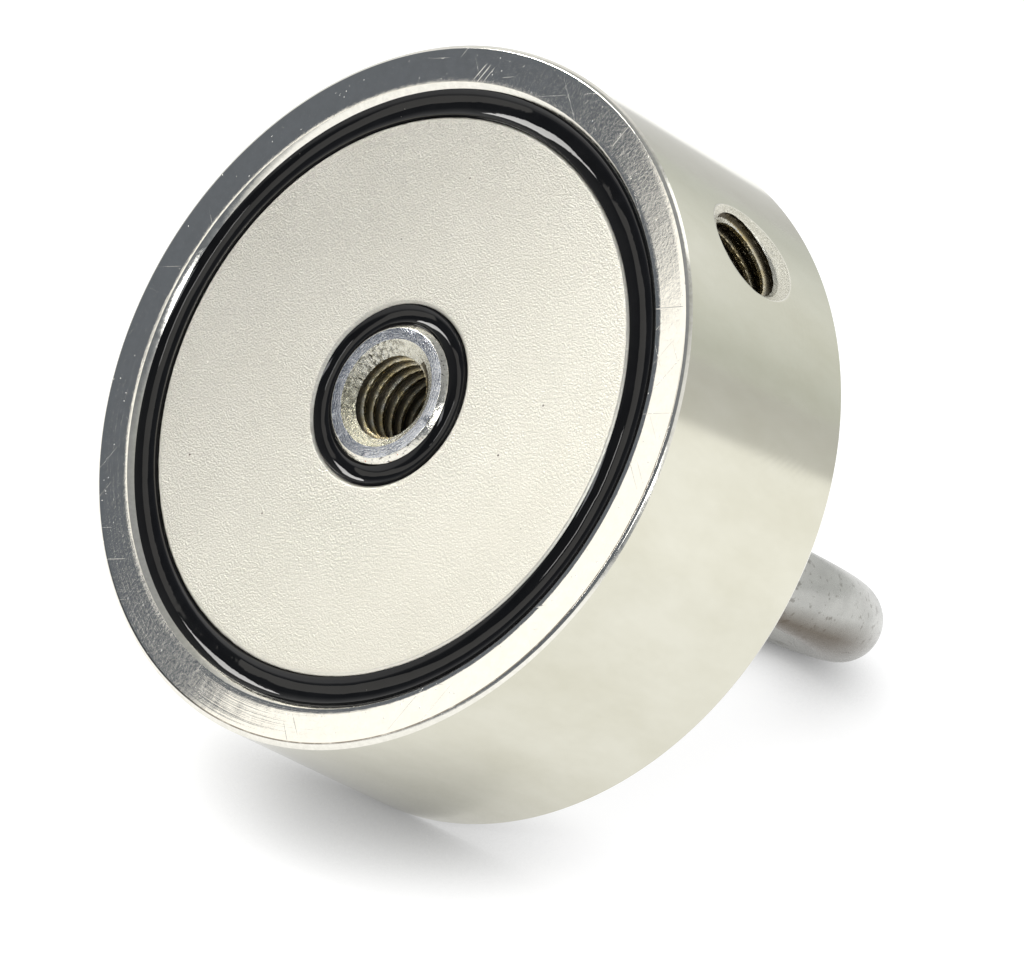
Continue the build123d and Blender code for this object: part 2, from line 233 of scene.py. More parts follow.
class Nodes:
    """Short names for the nodes that the materials use. Coordinates are in mm, in the pot's own axes."""

    def __init__(self, nt):
        self.nt = nt
        tex = nt.nodes.new("ShaderNodeTexCoord")
        self.mm = self.vec("SCALE", tex.outputs["Object"], scale=1000.0)
        sep = nt.nodes.new("ShaderNodeSeparateXYZ")
        nt.links.new(self.mm, sep.inputs[0])
        self.x, self.y, self.z = sep.outputs

    def link(self, a, b):
        if hasattr(a, "is_output"):
            self.nt.links.new(a, b)
        else:
            b.default_value = a

    def vec(self, op, a, b=None, scale=None):
        n = self.nt.nodes.new("ShaderNodeVectorMath")
        n.operation = op
        self.link(a, n.inputs[0])
        if b is not None:
            self.link(b, n.inputs[1])
        if scale is not None:
            self.link(scale, n.inputs["Scale"])
        return n.outputs["Value"] if op in ("LENGTH", "DISTANCE", "DOT_PRODUCT") else n.outputs["Vector"]

    def math(self, op, a, b=None, c=None, clamp=False):
        n = self.nt.nodes.new("ShaderNodeMath")
        n.operation = op
        n.use_clamp = clamp
        for i, v in enumerate((a, b, c)):
            if v is not None:
                self.link(v, n.inputs[i])
        return n.outputs[0]

    def combine(self, x, y, z):
        n = self.nt.nodes.new("ShaderNodeCombineXYZ")
        for i, v in enumerate((x, y, z)):
            self.link(v, n.inputs[i])
        return n.outputs[0]

    def noise(self, v, scale, detail=2.0, rough=0.5, distortion=0.0):
        n = self.nt.nodes.new("ShaderNodeTexNoise")
        n.noise_dimensions = "3D"
        self.link(v, n.inputs["Vector"])
        n.inputs["Scale"].default_value = scale
        n.inputs["Detail"].default_value = detail
        n.inputs["Roughness"].default_value = rough
        n.inputs["Distortion"].default_value = distortion
        return n.outputs["Fac"] if "Fac" in n.outputs else n.outputs[0]

    def voronoi(self, v, scale, feature="F1", randomness=1.0, out="Distance"):
        n = self.nt.nodes.new("ShaderNodeTexVoronoi")
        n.feature = feature
        self.link(v, n.inputs["Vector"])
        n.inputs["Scale"].default_value = scale
        n.inputs["Randomness"].default_value = randomness
        return n.outputs[out]

    def ramp(self, fac, stops, interp="LINEAR"):
        n = self.nt.nodes.new("ShaderNodeValToRGB")
        n.color_ramp.interpolation = interp
        els = n.color_ramp.elements
        while len(els) < len(stops):
            els.new(0.5)
        for e, (pos, col) in zip(els, stops):
            e.position = pos
            e.color = (col, col, col, 1) if isinstance(col, (int, float)) else (*col, 1)
        self.link(fac, n.inputs[0])
        return n.outputs[0]

    def span(self, v, a, b, c, d, clamp=True):
        n = self.nt.nodes.new("ShaderNodeMapRange")
        n.clamp = clamp
        self.link(v, n.inputs[0])
        for i, k in enumerate((a, b, c, d)):
            n.inputs[i + 1].default_value = k
        return n.outputs[0]

    def mix(self, fac, a, b):
        n = self.nt.nodes.new("ShaderNodeMix")
        n.data_type = "RGBA"
        self.link(fac, n.inputs[0])
        for v, s in ((a, n.inputs[6]), (b, n.inputs[7])):
            if isinstance(v, tuple):
                s.default_value = (*v, 1)
            else:
                self.link(v, s)
        return n.outputs[2]

    def bump(self, height, distance, strength=1.0, normal=None):
        n = self.nt.nodes.new("ShaderNodeBump")
        n.inputs["Strength"].default_value = strength
        n.inputs["Distance"].default_value = distance
        self.link(height, n.inputs["Height"])
        if normal is not None:
            self.link(normal, n.inputs["Normal"])
        return n.outputs[0]

    def radius(self):
        return self.math("SQRT", self.math("ADD", self.math("MULTIPLY", self.x, self.x), self.math("MULTIPLY", self.y, self.y)))

    def angle(self):
        return self.math("ARCTAN2", self.y, self.x)


def scratches(k, v, scale, seed, width=0.02, length=6.0, flat=True):
    """Thin straight scratches in a few directions: stretched noise pinched to lines. 1 on a scratch."""
    total = None
    for i, a in enumerate((0.35, 1.5, 2.4)):
        rot = k.nt.nodes.new("ShaderNodeVectorRotate")
        rot.rotation_type = "Z_AXIS"
        k.link(v, rot.inputs["Vector"])
        rot.inputs["Angle"].default_value = a + seed
        m = k.vec("MULTIPLY", rot.outputs[0], (scale / length, scale, scale if flat else scale / length))
        m = k.vec("ADD", m, (seed * 13.7 + i * 5.1, i * 7.7, seed * 3.3))
        n = k.noise(m, 1.0, 0.0)
        line = k.math("ABSOLUTE", k.math("SUBTRACT", n, 0.5))
        line = k.span(line, 0.0, width, 1.0, 0.0)
        breaks = k.noise(k.vec("ADD", v, (i * 11.0, seed * 5.0, 0.0)), scale * 0.35, 2.0)
        line = k.math("MULTIPLY", line, k.span(breaks, 0.56, 0.66, 0.0, 1.0))
        total = line if total is None else k.math("MAXIMUM", total, line)
    return total


# the pot's outside: satin nickel with faint ripples left by polishing
mat_side, nt, b = material("nickel_side")
k = Nodes(nt)
ang = k.angle()
wrap = k.combine(k.math("MULTIPLY", k.math("COSINE", ang), 30.0), k.math("MULTIPLY", k.math("SINE", ang), 30.0), k.z)
fine = k.noise(k.vec("MULTIPLY", wrap, (1.0, 1.0, 9.0)), 1.1, 3.0, 0.6)
warp = k.noise(wrap, 0.16, 2.0)
wave = nt.nodes.new("ShaderNodeTexWave")
wave.wave_type = "RINGS"
wave.rings_direction = "SPHERICAL"
k.link(k.vec("ADD", wrap, (-18.0, -14.0, 5.0)), wave.inputs["Vector"])
wave.inputs["Scale"].default_value = 0.62
wave.inputs["Distortion"].default_value = 5.0
wave.inputs["Detail"].default_value = 1.0
wave.inputs["Detail Scale"].default_value = 0.3
patches = k.span(k.noise(wrap, 0.11, 1.0), 0.42, 0.66, 0.0, 1.0)
ripple = k.math("MULTIPLY", wave.outputs["Fac"], patches)
cloud = k.noise(k.vec("MULTIPLY", wrap, (1.0, 1.0, 0.5)), 0.16, 4.0, 0.65)
b.inputs["Metallic"].default_value = 1.0
k.link(k.mix(k.span(cloud, 0.3, 0.7, 0.0, 1.0), (0.635, 0.618, 0.512), (0.700, 0.686, 0.588)), b.inputs["Base Color"])
k.link(k.math("ADD", k.span(fine, 0.2, 0.8, 0.07, 0.11), k.math("MULTIPLY", patches, 0.02)), b.inputs["Roughness"])
b.inputs["Anisotropic"].default_value = 0.3
height = k.math("ADD", k.math("MULTIPLY", ripple, 0.07), k.math("MULTIPLY", fine, 0.12))
k.link(k.bump(height, 0.000009, 0.5), b.inputs["Normal"])

# the flat rim faces: mirror bright, with turning lines, dust and scratches
mat_rim, nt, b = material("nickel_turned")
k = Nodes(nt)
rad = k.radius()
ang = k.angle()
lines = k.noise(k.combine(k.math("MULTIPLY", rad, 4.2), k.math("MULTIPLY", ang, 1.3), 0.0), 1.0, 2.0, 0.7)
coarse = k.noise(k.combine(k.math("MULTIPLY", rad, 2.4), k.math("MULTIPLY", ang, 0.5), 3.0), 1.0, 1.0)
turned = k.span(k.math("ADD", k.math("MULTIPLY", k.x, -0.6), k.math("MULTIPLY", k.y, -0.8)), 8.0, 24.0, 0.10, 1.0)
blotch = k.noise(k.mm, 0.9, 4.0, 0.65)
smear = k.noise(k.vec("MULTIPLY", k.mm, (0.5, 2.2, 1.0)), 0.8, 3.0, 0.6, 1.5)
scr = k.math("MULTIPLY", scratches(k, k.mm, 0.55, 0.4, 0.004, 90.0), 0.32)
specks = k.span(k.voronoi(k.mm, 1.5), 0.05, 0.08, 1.0, 0.0)
specks = k.math("MULTIPLY", specks, k.span(k.noise(k.mm, 0.35, 1.0), 0.44, 0.54, 0.0, 1.0))
b.inputs["Metallic"].default_value = 1.0
tone = k.mix(k.span(blotch, 0.35, 0.7, 0.0, 1.0), (0.745, 0.73, 0.675), (0.80, 0.785, 0.73))
tone = k.mix(k.math("MAXIMUM", specks, scr), tone, (0.93, 0.92, 0.88))
# a thin dark line at the rim's outer edge, on the side away from the hole: painted shade of a small burr step
lowside = k.span(k.math("SUBTRACT", k.math("MULTIPLY", k.x, 0.55), k.math("MULTIPLY", k.y, 0.83)), 2.0, 14.0, 0.0, 1.0)
painted_burr_shade = k.math("MULTIPLY", k.span(k.math("ABSOLUTE", k.math("SUBTRACT", rad, 29.56)), 0.03, 0.075, 1.0, 0.0), lowside)
painted_burr_shade = k.math("MULTIPLY", painted_burr_shade, k.span(k.noise(k.mm, 0.7, 3.0, 0.7), 0.3, 0.5, 0.45, 1.0))
tone = k.mix(k.math("MULTIPLY", painted_burr_shade, 0.85), tone, (0.10, 0.075, 0.05))
k.link(tone, b.inputs["Base Color"])
mottle = k.noise(k.vec("MULTIPLY", k.mm, (1.0, 1.0, 1.0)), 3.4, 4.0, 0.7, 0.4)
rough = k.math("ADD", k.math("ADD", k.span(smear, 0.35, 0.75, 0.035, 0.075), k.span(mottle, 0.5, 0.68, 0.0, 0.06)), k.math("MULTIPLY", k.math("MAXIMUM", specks, scr), 0.5))
k.link(rough, b.inputs["Roughness"])
b.inputs["Anisotropic"].default_value = 0.5
height = k.math("MULTIPLY", k.math("ADD", k.math("MULTIPLY", lines, 0.6), k.math("MULTIPLY", coarse, 0.3)), turned)
n1 = k.bump(height, 0.000030, 0.6)
dull = k.span(k.math("SUBTRACT", k.math("MULTIPLY", k.x, 0.64), k.math("MULTIPLY", k.y, 0.45)), 2.0, 12.0, 1.0, 0.1)
n1 = k.bump(k.math("MULTIPLY", mottle, dull), 0.000013, 0.5, n1)
n2 = k.bump(k.math("MAXIMUM", specks, scr), 0.00003, 0.6, n1)
k.link(n2, b.inputs["Normal"])

# chamfers and bevels: plain bright nickel
mat_edge, nt, b = material("nickel_edge")
k = Nodes(nt)
spots = k.noise(k.mm, 2.3, 3.0, 0.6)
b.inputs["Metallic"].default_value = 1.0
k.link(k.mix(k.span(spots, 0.35, 0.7, 0.0, 1.0), (0.74, 0.72, 0.65), (0.82, 0.80, 0.73)), b.inputs["Base Color"])
k.link(k.span(spots, 0.3, 0.75, 0.10, 0.22), b.inputs["Roughness"])
k.link(k.bump(spots, 0.00002, 0.35), b.inputs["Normal"])

# the boss's flat ring: turned finely, with a grain speckle whose dark bluish half is a painted reflection
mat_boss, nt, b = material("nickel_boss")
k = Nodes(nt)
rad = k.radius()
ang = k.angle()
lines = k.noise(k.combine(k.math("MULTIPLY", rad, 9.0), k.math("MULTIPLY", ang, 7.0), 0.0), 1.0, 2.0, 0.7)
grain = k.noise(k.mm, 7.0, 3.0, 0.65)
b.inputs["Metallic"].default_value = 1.0
# painted reflection: the dark bluish tone stands in for dark surroundings mirrored in the ring
k.link(k.mix(k.span(grain, 0.35, 0.7, 0.0, 1.0), (0.34, 0.37, 0.44), (0.74, 0.75, 0.75)), b.inputs["Base Color"])
k.link(k.span(grain, 0.3, 0.75, 0.08, 0.2), b.inputs["Roughness"])
n1 = k.bump(lines, 0.000034, 0.65)
k.link(k.bump(grain, 0.00001, 0.4, n1), b.inputs["Normal"])

# the boss's bevel: bright, chipped, with copper showing in places
mat_bevel, nt, b = material("nickel_bevel")
k = Nodes(nt)
spots = k.noise(k.mm, 4.0, 3.0, 0.65)
flecks = k.math("MULTIPLY", k.span(k.voronoi(k.mm, 2.1), 0.12, 0.17, 1.0, 0.0), k.span(k.noise(k.mm, 0.8, 1.0), 0.52, 0.58, 0.0, 1.0))
chips = k.span(k.noise(k.vec("ADD", k.mm, (9.0, 4.0, 2.0)), 2.6, 3.0, 0.7), 0.60, 0.66, 0.0, 1.0)
b.inputs["Metallic"].default_value = 1.0
tone = k.mix(k.span(spots, 0.35, 0.7, 0.0, 1.0), (0.70, 0.675, 0.59), (0.83, 0.81, 0.74))
tone = k.mix(chips, tone, (0.12, 0.11, 0.10))
k.link(k.mix(flecks, tone, (0.62, 0.27, 0.14)), b.inputs["Base Color"])
k.link(k.span(spots, 0.3, 0.75, 0.10, 0.26), b.inputs["Roughness"])
k.link(k.bump(spots, 0.00005, 0.5), b.inputs["Normal"])

# countersinks: rough cut metal
mat_cone, nt, b = material("nickel_cut")
k = Nodes(nt)
grain = k.noise(k.mm, 6.5, 4.0, 0.7)
rad = k.radius()
ang = k.angle()
chat = k.noise(k.combine(k.math("MULTIPLY", rad, 2.0), k.math("MULTIPLY", ang, 16.0), k.math("MULTIPLY", k.z, 2.0)), 1.0, 2.0, 0.6)
b.inputs["Metallic"].default_value = 1.0
tone = k.mix(k.span(grain, 0.3, 0.75, 0.0, 1.0), (0.58, 0.56, 0.46), (0.88, 0.86, 0.77))
torn = k.noise(k.combine(k.math("MULTIPLY", rad, 3.0), k.math("MULTIPLY", ang, 11.0), k.math("MULTIPLY", k.z, 3.0)), 1.0, 3.0, 0.7)
left = k.span(k.math("SUBTRACT", k.math("MULTIPLY", k.y, 0.25), k.x), 0.0, 3.2, 0.0, 1.0)
torn = k.math("MULTIPLY", k.span(torn, 0.48, 0.60, 0.0, 1.0), left)
# painted shade: the countersink turns darker olive towards its lower left
low = k.span(k.math("SUBTRACT", k.math("MULTIPLY", k.y, -0.85), k.math("MULTIPLY", k.x, 0.5)), 0.5, 3.2, 0.0, 0.62)
tone = k.mix(low, tone, (0.36, 0.345, 0.24))
k.link(k.mix(k.math("MULTIPLY", torn, 0.78), tone, (0.14, 0.13, 0.09)), b.inputs["Base Color"])
k.link(k.span(grain, 0.3, 0.75, 0.16, 0.34), b.inputs["Roughness"])
n1 = k.bump(grain, 0.00007, 0.75)
k.link(k.bump(chat, 0.00006, 0.5, n1), b.inputs["Normal"])

# threads: brassy crests, with painted shade in the dark roots and painted shade darkening with depth
def thread_material(name, side):
    m, nt, b = material(name)
    k = Nodes(nt)
    if side:
        along = k.math("ADD", k.math("MULTIPLY", k.x, cos(SIDE_ANGLE)), k.math("MULTIPLY", k.y, sin(SIDE_ANGLE)))
        across = k.math("SUBTRACT", k.math("MULTIPLY", k.y, cos(SIDE_ANGLE)), k.math("MULTIPLY", k.x, sin(SIDE_ANGLE)))
        height = k.math("SUBTRACT", k.z, SIDE_Z)
        rad = k.math("SQRT", k.math("ADD", k.math("MULTIPLY", across, across), k.math("MULTIPLY", height, height)))
        depth = k.math("SUBTRACT", R, along)
    else:
        rad = k.radius()
        depth = k.math("MULTIPLY", k.z, -1.0)
    grain = k.noise(k.mm, 6.0, 4.0, 0.7)
    patch = k.noise(k.mm, 0.9, 3.0, 0.6)
    root = k.span(k.math("ADD", rad, k.math("MULTIPLY", k.math("SUBTRACT", grain, 0.5), 0.22)), 3.45, 3.68, 0.0, 1.0)
    # painted shade: the thread darkens from 4 to 11 mm deep into its hole
    deep = k.span(depth, 4.0, 11.0, 0.0, 1.0)
    brass = k.mix(k.span(patch, 0.35, 0.65, 0.0, 1.0), (0.93, 0.76, 0.38), (0.98, 0.95, 0.80))
    brass = k.mix(k.span(grain, 0.35, 0.75, 0.0, 1.0), k.mix(0.5, brass, (0.24, 0.19, 0.12)), brass)
    # painted shade: the thread roots go near black
    painted_root_shade = k.mix(patch, (0.030, 0.024, 0.015), (0.085, 0.07, 0.045))
    tone = k.mix(k.math("MULTIPLY", root, 0.92), brass, painted_root_shade)
    b.inputs["Metallic"].default_value = 1.0
    k.link(k.mix(k.math("MULTIPLY", deep, 0.9), tone, (0.035, 0.03, 0.022)), b.inputs["Base Color"])
    k.link(k.span(grain, 0.3, 0.7, 0.12, 0.28), b.inputs["Roughness"])
    k.link(k.bump(grain, 0.00006, 0.75), b.inputs["Normal"])
    return m


mat_thread = thread_material("thread_front", False)
mat_thread_side = thread_material("thread_side", True)

# shank's thread
mat_shank, nt, b = material("thread_shank")
k = Nodes(nt)
grain = k.noise(k.mm, 5.0, 3.0, 0.65)
b.inputs["Metallic"].default_value = 1.0
k.link(k.mix(k.span(grain, 0.3, 0.75, 0.0, 1.0), (0.40, 0.39, 0.36), (0.58, 0.57, 0.54)), b.inputs["Base Color"])
k.link(k.span(grain, 0.3, 0.7, 0.2, 0.36), b.inputs["Roughness"])
k.link(k.bump(grain, 0.00003, 0.5), b.inputs["Normal"])

# magnet faces: nickel plated over a blasted grain, with painted shade and light across them
mat_magnet, nt, b = material("magnet_nickel")
k = Nodes(nt)
across = k.math("SUBTRACT", k.math("MULTIPLY", k.x, 0.82), k.math("MULTIPLY", k.y, 0.57))
slice_x = k.math("ADD", k.math("MULTIPLY", k.x, 0.36), k.math("MULTIPLY", k.y, 0.48))
slice_y = k.math("SUBTRACT", k.math("MULTIPLY", k.y, 0.6), k.math("MULTIPLY", k.x, 0.8))
slice_z = k.math("ADD", k.math("MULTIPLY", k.x, 0.48), k.math("MULTIPLY", k.y, 0.64))
oblique = k.combine(slice_x, slice_y, k.math("ADD", slice_z, k.z))
g1 = k.noise(oblique, 6.2, 2.0, 0.6)
g2 = k.noise(oblique, 12.0, 2.0, 0.6)
mott = k.noise(k.mm, 0.12, 3.0, 0.6)
pits = k.span(k.voronoi(k.mm, 0.42), 0.030, 0.052, 1.0, 0.0)
pits = k.math("MULTIPLY", pits, k.span(k.noise(k.mm, 0.21, 1.0), 0.54, 0.6, 0.0, 1.0))
b.inputs["Metallic"].default_value = 1.0
tone = k.mix(k.span(mott, 0.3, 0.7, 0.0, 1.0), (0.745, 0.725, 0.640), (0.785, 0.765, 0.685))
# painted shade and light: darker towards the upper left, lighter towards the lower right, with the grain darkening more
# on the darker side
tone = k.mix(k.span(across, -22.0, 16.0, 0.0, 1.0), k.mix(0.30, tone, (0.44, 0.43, 0.40)), k.mix(0.45, tone, (0.93, 0.905, 0.80)))
tone = k.mix(k.span(g1, 0.35, 0.7, 0.0, 1.0), k.mix(k.span(across, -22.0, 16.0, 0.42, 0.10), tone, (0.36, 0.35, 0.32)), tone)
tone = k.mix(pits, tone, (0.13, 0.11, 0.09))
k.link(tone, b.inputs["Base Color"])
k.link(k.span(g2, 0.3, 0.7, 0.36, 0.48), b.inputs["Roughness"])
fade = k.span(across, -18.0, 20.0, 1.0, 0.25)
n1 = k.bump(k.math("MULTIPLY", g1, fade), 0.00015, 0.9)
k.link(k.bump(k.math("MULTIPLY", g2, fade), 0.00004, 0.7, n1), b.inputs["Normal"])

# potting resin
mat_resin, nt, b = material("black_resin")
k = Nodes(nt)
swirl = k.noise(k.mm, 0.5, 2.0, 0.5, 0.6)
dust = k.span(k.voronoi(k.mm, 1.1), 0.03, 0.05, 1.0, 0.0)
dust = k.math("MULTIPLY", dust, k.span(k.noise(k.mm, 0.3, 1.0), 0.58, 0.64, 0.0, 1.0))
k.link(k.mix(dust, k.mix(k.span(swirl, 0.3, 0.7, 0.0, 1.0), (0.0035, 0.0035, 0.0038), (0.007, 0.007, 0.0075)), (0.32, 0.30, 0.26)), b.inputs["Base Color"])
k.link(k.math("ADD", k.span(swirl, 0.3, 0.75, 0.03, 0.07), k.math("MULTIPLY", dust, 0.4)), b.inputs["Roughness"])
b.inputs["IOR"].default_value = 1.38
k.link(k.bump(swirl, 0.00005, 0.25), b.inputs["Normal"])

# eyebolt: forged, tumbled stainless steel
mat_eye, nt, b = material("eyebolt_steel")
k = Nodes(nt)
cloud = k.noise(k.mm, 0.22, 4.0, 0.6)
grain = k.noise(k.mm, 4.5, 3.0, 0.65)
scr = scratches(k, k.mm, 0.45, 1.1, 0.010, 60.0, False)
dent = k.noise(k.mm, 0.55, 2.0)
b.inputs["Metallic"].default_value = 1.0
tone = k.mix(k.span(cloud, 0.3, 0.7, 0.0, 1.0), (0.39, 0.39, 0.37), (0.50, 0.50, 0.475))
tone = k.mix(k.math("MULTIPLY", scr, 0.75), tone, (0.13, 0.12, 0.10))
k.link(tone, b.inputs["Base Color"])
streak = k.noise(k.vec("MULTIPLY", k.mm, (1.5, 0.22, 1.5)), 1.0, 2.0, 0.6)
streak = k.span(streak, 0.60, 0.68, 0.0, 1.0)
tone = k.mix(k.math("MULTIPLY", streak, 0.55), tone, (0.16, 0.15, 0.13))
# painted shade: faces turned towards the floor go dark brown, fading out towards the far end of the eye, as a painted
# reflection of the shadowed floor
geo = nt.nodes.new("ShaderNodeNewGeometry")
down = nt.nodes.new("ShaderNodeSeparateXYZ")
nt.links.new(geo.outputs["Normal"], down.inputs[0])
under = k.math("MULTIPLY", k.span(down.outputs[2], -0.10, -0.55, 0.0, 1.0), k.span(k.z, 21.0, 32.0, 1.0, 0.0))
k.link(k.mix(k.math("MULTIPLY", under, 0.85), tone, (0.10, 0.075, 0.05)), b.inputs["Base Color"])
k.link(k.span(grain, 0.3, 0.7, 0.24, 0.36), b.inputs["Roughness"])
n1 = k.bump(dent, 0.00012, 0.35)
n2 = k.bump(grain, 0.000015, 0.5, n1)
k.link(k.bump(k.math("MULTIPLY", scr, -1.0), 0.00004, 0.7, n2), b.inputs["Normal"])

# spring washer: zinc plated
mat_washer, nt, b = material("washer_zinc")
k = Nodes(nt)
spangle = k.voronoi(k.mm, 1.3, out="Color")
grain = k.noise(k.mm, 5.0, 3.0, 0.6)
b.inputs["Metallic"].default_value = 1.0
sep = nt.nodes.new("ShaderNodeSeparateColor")
nt.links.new(spangle, sep.inputs[0])
k.link(k.mix(k.span(sep.outputs[0], 0.0, 1.0, 0.25, 0.75), (0.50, 0.51, 0.53), (0.68, 0.69, 0.71)), b.inputs["Base Color"])
k.link(k.span(grain, 0.3, 0.7, 0.25, 0.42), b.inputs["Roughness"])
k.link(k.bump(grain, 0.00002, 0.4), b.inputs["Normal"])

# bond under the magnets, sealed inside
mat_bond, nt, b = material("bond")
k = Nodes(nt)
swirl = k.noise(k.mm, 0.8, 2.0)
k.link(k.mix(swirl, (0.02, 0.02, 0.02), (0.04, 0.04, 0.04)), b.inputs["Base Color"])
k.link(k.span(swirl, 0.3, 0.7, 0.25, 0.4), b.inputs["Roughness"])


# ---------------------------------------------------------------- pot
N_OUT, N_IN = 720, 360
SIDE, RIM, EDGE, BOSSF, CONE, THREAD, TAPPED, BEVEL = range(8)
POT_MATS = [mat_side, mat_rim, mat_edge, mat_boss, mat_cone, mat_thread, mat_thread_side, mat_bevel]
pot = Build()
start_out = SIDE_ANGLE - 0  # a column runs through the side hole's middle
turn = 2 * pi / N_OUT


def revolve(section, n, start, mat, first=None, rough=None):
    """Rings along a section of (radius, z); mat may be one number or one per band. Returns the last ring."""
    prev = first
    t = start + np.arange(n) * 2 * pi / n
    for i, (r, z) in enumerate(section):
        if prev is not None and first is not None and i == 0:
            continue
        rr, zz = np.full(n, float(r)), np.full(n, float(z))
        if rough is not None:
            dr, dz = rough(t, r, z)
            rr, zz = rr + dr, zz + dz
        cur = pot.add(np.stack([rr * np.cos(t), rr * np.sin(t), zz], -1))
        if prev is not None:
            pot.band(prev, cur, mat if isinstance(mat, int) else mat[i - 1])
        prev = cur
    return prev


# bore: thread, with a rough countersink at each end
t_in = start_out + np.arange(N_IN) * 2 * pi / N_IN
cone_tan = tan(radians(60))


def bore_radius(t, z):
    depth = -z
    x = depth - TAP_START + PITCH * t / (2 * pi)
    r = tooth(x, *INTERNAL)
    crest = fractal(np.stack([np.cos(t) * 9, np.sin(t) * 9, np.broadcast_to(z, t.shape) * 2.5], -1), 2, 5)
    r = r + 0.018 * crest
    for d in (depth, T - depth):
        base = 4.6 - d * cone_tan
        # chatter marks of the countersink, deeper over a third of its turn
        rough = fractal(np.stack([np.cos(t) * 13, np.sin(t) * 13, np.full_like(t, d * 3.0)], -1), 3, 9)
        wave = np.sin(t * 41 + 3.0 * np.sin(t * 3)) * smooth(0.05, 0.3, d)
        part = smooth(0.2, 0.95, np.cos(t - radians(165)))
        base = base + 0.018 * rough + part * (0.050 * wave + 0.10 * rough)
        r = np.maximum(r, base)
    return r


steps = np.concatenate([np.arange(0, 10.5, 0.04), np.arange(10.5, T - 1.2, 0.11), np.arange(T - 1.2, T, 0.05), [T]])
rows = []
for d in steps:
    z = np.full(N_IN, -d)
    r = bore_radius(t_in, z)
    if d == 0 or d == T:
        r = np.full(N_IN, 4.6) + 0.02 * fractal(np.stack([np.cos(t_in) * 9, np.sin(t_in) * 9, t_in * 0], -1), 3, 3)
    rows.append(pot.add(np.stack([r * np.cos(t_in), r * np.sin(t_in), z], -1)))
for i, (a, c) in enumerate(zip(rows, rows[1:])):
    d = (steps[i] + steps[i + 1]) / 2
    rr = (np.linalg.norm(pot.verts[i][:, :2], axis=1) + np.linalg.norm(pot.verts[i + 1][:, :2], axis=1)) / 2
    edge = np.maximum(4.6 - d * cone_tan, 4.6 - (T - d) * cone_tan)
    n = N_IN
    for q in range(n):
        w = (q + 1) % n
        on_cone = rr[q] < edge + 0.09 and edge > 3.35
        pot.face((a[q], a[w], c[w], c[q]), CONE if on_cone else THREAD)


def boss_rough(t, r, z):
    f = fractal(np.stack([np.cos(t) * 8, np.sin(t) * 8, np.full_like(t, r * 2 + z)], -1), 3, 21)
    k = 0.004 if r < 5.5 else 0.03
    k = 0.0 if abs(z) > 0.6 and abs(z) < T - 0.6 else k
    return f * k, f * k * 0.5 * (-1 if z > -T / 2 else 1)


def boss_side(sign, first):
    """From the countersink's edge across the boss face, down its wall and over the pocket's bottom to the middle."""
    zf = 0.0 if sign > 0 else -T
    section = soften([(4.6, 0), (5.56, 0), (5.98, -0.42), (6.0, -POCKET)], 0.07)
    section = [(r, zf + sign * z) for r, z in section]
    mats = []
    for (r0, z0), (r1, z1) in zip(section, section[1:]):
        mid = (r0 + r1) / 2
        mats.append(BOSSF if mid < 5.52 else BEVEL)
    last = revolve(section, N_IN, start_out, mats, first, boss_rough)
    last = revolve([(6.0, 0), (10.0, zf - sign * POCKET)], N_IN, start_out, EDGE, last)
    return last


def wall_side(sign):
    """From the pocket's bottom up the outer wall, over the rim face and its chamfer. Returns (innermost ring, chamfer's foot)."""
    zf = 0.0 if sign > 0 else -T
    section = [(10.2, -POCKET), (WALL, -POCKET), (WALL, -0.45), (26.7, 0), (29.62, 0), (29.84, -0.13), (R, -0.4)]
    section = soften(section, 0.04, 2)
    # extra rings on the rim face for its slight unevenness
    out = []
    for a, c in zip(section, section[1:]):
        out.append(a)
        if a[1] > -0.01 and c[1] > -0.01 and c[0] - a[0] > 1:
            out += [(a[0] + (c[0] - a[0]) * i / 6, 0.0) for i in range(1, 6)]
    out.append(section[-1])
    section = [(r, zf + sign * z) for r, z in out]
    mats = []
    for (r0, z0), (r1, z1) in zip(section, section[1:]):
        mid, depth = (r0 + r1) / 2, abs((z0 + z1) / 2 - zf)
        mats.append(RIM if depth < 0.012 and mid > 26.7 and mid < 29.6 else EDGE)

    def rough(t, r, z):
        on = 26.2 < r < 30.01 and abs(z - zf) < 0.5
        f = fractal(np.stack([np.cos(t) * 26, np.sin(t) * 26, np.full_like(t, r * 3)], -1), 3, 31)
        g = noise3(np.stack([np.cos(t) * 2.2, np.sin(t) * 2.2, np.full_like(t, r * 0.3)], -1), 7)
        if not on or r > 29.99:
            return 0.0 * t, 0.0 * t
        edge = 1.0 if (r < 26.9) else 0.35
        return f * 0.008 * edge, -sign * (np.abs(f) * 0.004 + 0.006 * (g + 1)) * smooth(R, 29.6, r)

    first = pot.add(ring(10.2, zf - sign * POCKET, N_OUT, start_out))
    last = revolve([(0, 0)] + section[1:], N_OUT, start_out, [EDGE] + mats, first, rough)
    return first, last


inner_front = boss_side(1, rows[0])
inner_rear = boss_side(-1, rows[-1])
foot_front, cham_front = wall_side(1)
foot_rear, cham_rear = wall_side(-1)
pot_front_faces = len(pot.faces)
pot.widen(inner_front, foot_front, EDGE)
pot.widen(inner_rear, foot_rear, EDGE)

# outer wall, with a window for the side hole
HALF = 27
win = HALF * turn * R
depth_lines = np.concatenate([np.linspace(0.4, T / 2 - win, 9)[1:-1], np.linspace(T / 2 - win, T / 2 + win, 2 * HALF + 1), np.linspace(T / 2 + win, T - 0.4, 9)[1:-1]])
columns = start_out + np.arange(N_OUT) * turn
grid = [cham_front]
for d in depth_lines:
    grid.append(pot.add(ring(R, -d, N_OUT, start_out)))
grid.append(cham_rear)
first_row = 8  # of the window
in_window_col = lambda c: (c < HALF) or (c >= N_OUT - HALF)
for i in range(len(grid) - 1):
    a, c = grid[i], grid[i + 1]
    inside = first_row <= i < first_row + 2 * HALF
    for q in range(N_OUT):
        if inside and in_window_col(q):
            continue
        w = (q + 1) % N_OUT
        pot.face((a[q], a[w], c[w], c[q]), SIDE)

